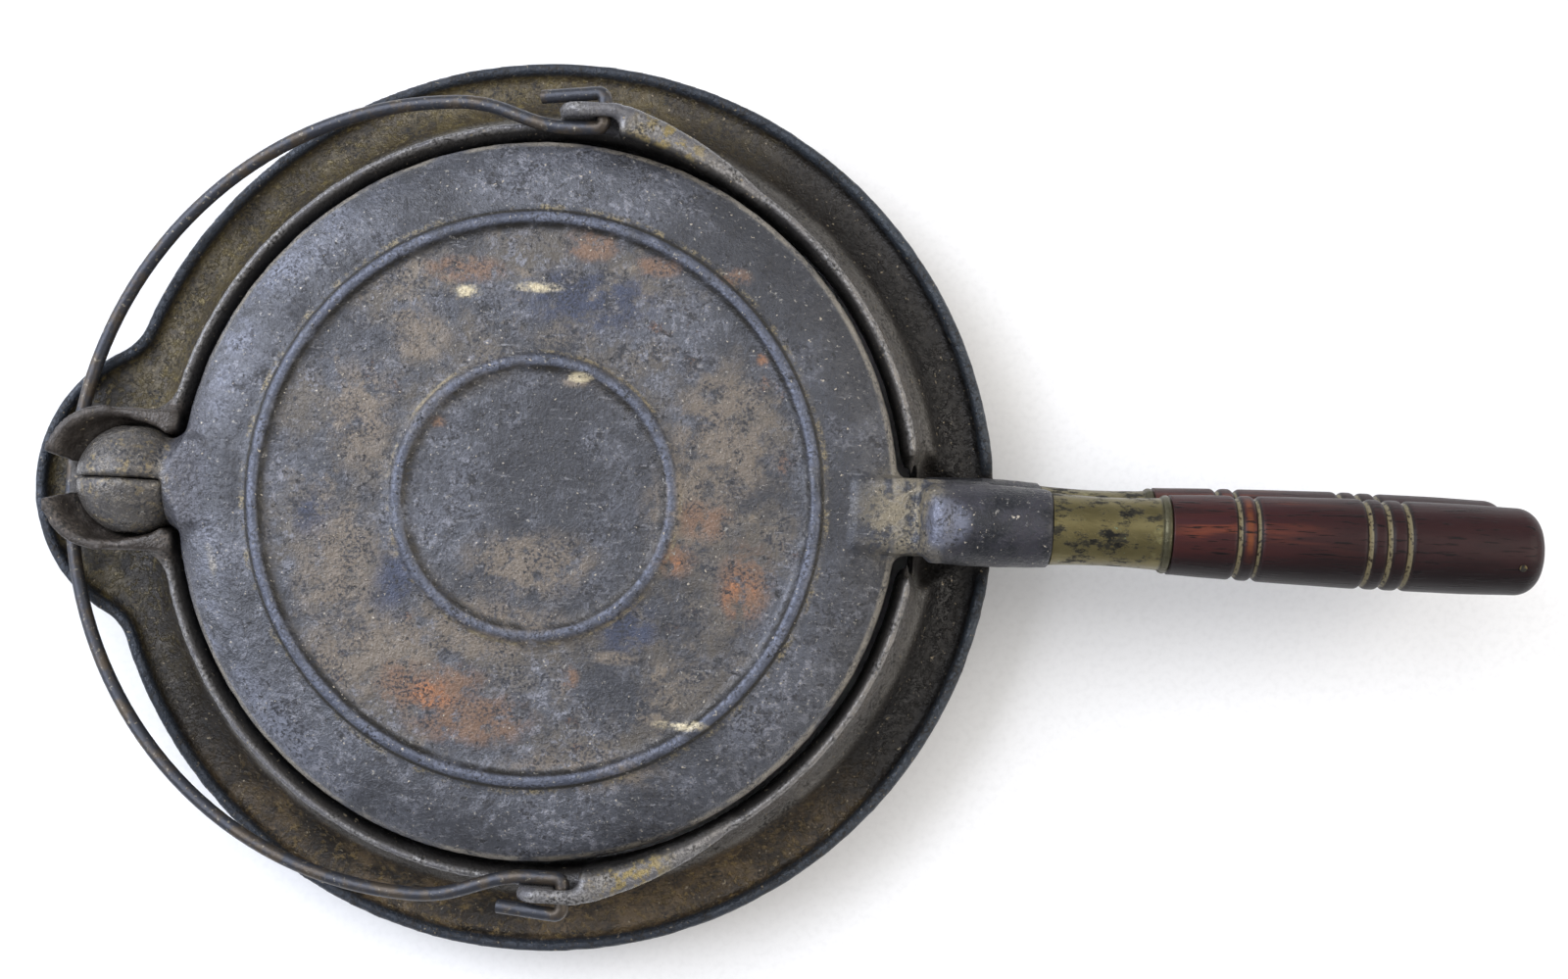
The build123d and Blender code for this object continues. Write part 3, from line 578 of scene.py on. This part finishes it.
def castSkin(name, settings):
    # the solid's own shape with the rounded corners and uneven skin of a sand casting
    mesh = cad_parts[settings["node"]].data.copy()
    mesh.materials.clear()
    work = bmesh.new()
    work.from_mesh(mesh)
    bmesh.ops.remove_doubles(work, verts=work.verts, dist=sandCast["weld"])
    work.to_mesh(mesh)
    work.free()
    piece = bpy.data.objects.new(name, mesh)
    bpy.context.scene.collection.objects.link(piece)
    skin = piece.modifiers.new("skin", "REMESH")
    skin.mode, skin.voxel_size = "VOXEL", settings["voxel"] * mm
    soft = piece.modifiers.new("soft", "SMOOTH")
    soft.factor, soft.iterations = sandCast["softness"], sandCast["passes"]
    bumps = bpy.data.textures.new(name + "_sand", "CLOUDS")
    bumps.noise_scale, bumps.noise_depth = sandCast["lump"], sandCast["depth"]
    uneven = piece.modifiers.new("uneven", "DISPLACE")
    uneven.texture, uneven.texture_coords = bumps, "LOCAL"
    uneven.strength, uneven.mid_level = sandCast["uneven"] * mm, 0.5
    bpy.context.view_layer.update()
    shaped = piece.evaluated_get(bpy.context.evaluated_depsgraph_get())
    ready = bpy.data.meshes.new_from_object(shaped)
    piece.modifiers.clear()
    piece.data = ready
    ready.materials.clear()
    ready.materials.append(settings["material"])
    ready.shade_smooth()
    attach(piece, settings["body"])
    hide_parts(settings["node"])
    print(name, "has", len(ready.vertices), "points")


for name, settings in castings.items():
    castSkin(name, settings)
print("castings made")


# ---- turned grips: the lathe's soft shoulders beside each groove, and a little hand wear

gripAside, gripAbove = -0.0016, 0.014  # the upper grip's middle; the lower grip's is opposite
turning = {  # in mm, each radius and groove with its place along the iron
    "start": 170.5, "end": 268.8, "endRound": 6.0,
    "radii": [(170.5, 10.65), (178.0, 11.0), (187.0, 11.32), (194.0, 11.48), (219.0, 12.06),
              (250.0, 12.04), (262.8, 11.66)],
    "blend": range(-3, 4),
    "grooves": [187.9, 192.9, 221.9, 226.9, 232.2], "grooveDepth": 1.0, "grooveWidth": 0.85,
    "wear": 0.07, "wearAlong": 0.05, "wearAround": 0.9, "wearSeed": 7, "step": 0.3, "around": 80,
    "pieces": {
        "upper_turned_grip": {"node": "upper_grip", "body": "upper_paddle", "side": 1},
        "lower_turned_grip": {"node": "lower_grip", "body": "lower_paddle", "side": -1},
    },
}


def taper(x):
    # the grip's radius before its grooves, without corners
    radii, total = turning["radii"], 0.0
    for shift in turning["blend"]:
        place = min(max(x + shift, radii[0][0]), radii[-1][0])
        for (x0, r0), (x1, r1) in zip(radii, radii[1:]):
            if x0 <= place <= x1:
                total += r0 + (r1 - r0) * (place - x0) / (x1 - x0)
                break
    return total / len(turning["blend"])


def gripRadius(x):
    # the same with its grooves and its rounded end
    radius = taper(x)
    for groove in turning["grooves"]:
        radius -= turning["grooveDepth"] * math.exp(-((x - groove) / turning["grooveWidth"]) ** 2)
    rounding = turning["endRound"]
    into = max(0.0, x - turning["end"] + rounding)
    return radius - rounding + math.sqrt(max(rounding ** 2 - into ** 2, 0.0))


def turnedGrip(name, settings):
    # rings of points along the grip, closed at both ends
    side = settings["side"]
    middle = gripAside * side, axisHeight + gripAbove * side
    length, around = turning["end"] - turning["start"], turning["around"]
    steps = round(length / turning["step"])
    seed = side * turning["wearSeed"]
    mesh = bmesh.new()
    rings = []
    for n in range(steps + 1):
        x = turning["start"] + length * n / steps
        centre = Vector((x * mm, *middle))
        ring = []
        for m in range(around):
            angle = 2 * math.pi * m / around
            out = Vector((0, math.cos(angle), math.sin(angle)))
            spot = Vector((x * turning["wearAlong"], 0, seed)) + out * turning["wearAround"]
            worn = abs(noise.noise(spot) * turning["wear"])
            ring.append(mesh.verts.new(centre + out * (gripRadius(x) - worn) * mm))
        rings.append(ring)
    for near, far in zip(rings, rings[1:]):
        for m in range(around):
            n = (m + 1) % around
            mesh.faces.new((near[m], far[m], far[n], near[n]))
    mesh.faces.new(rings[0])
    tip = mesh.verts.new(Vector((turning["end"] * mm, *middle)))
    for m in range(around):
        mesh.faces.new((rings[-1][m], tip, rings[-1][(m + 1) % around]))
    bmesh.ops.recalc_face_normals(mesh, faces=mesh.faces)
    data = bpy.data.meshes.new(name)
    mesh.to_mesh(data)
    mesh.free()
    data.materials.append(stainedHardwood("stained_hardwood_" + settings["node"], middle))
    data.shade_smooth()
    piece = bpy.data.objects.new(name, data)
    bpy.context.scene.collection.objects.link(piece)
    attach(piece, settings["body"])
    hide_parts(settings["node"])
    print(name, "has", len(data.vertices), "points")


for name, settings in turning["pieces"].items():
    turnedGrip(name, settings)
print("grips turned")


# ---- the other nodes keep their solids and get these materials

finishes = {
    "bail": oxidisedWire("oxidised_steel_wire"),
    "hinge_pin": dullSteel("dull_steel", "#6d6a66"),
    "upper_ferrule": tarnishedBrass("tarnished_brass"),
    "upper_grip_brad": dullSteel("brad_brass", "#8a7a52"),
}
finishes["lower_ferrule"] = finishes["upper_ferrule"]
finishes["lower_grip_brad"] = finishes["upper_grip_brad"]
finishes["upper_tang_rod"] = finishes["lower_tang_rod"] = finishes["hinge_pin"]

for node, material in finishes.items():
    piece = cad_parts[node]
    if not piece.material_slots:
        piece.data.materials.append(material)
    for place in piece.material_slots:
        place.material = material
print("materials given to the kept solids")
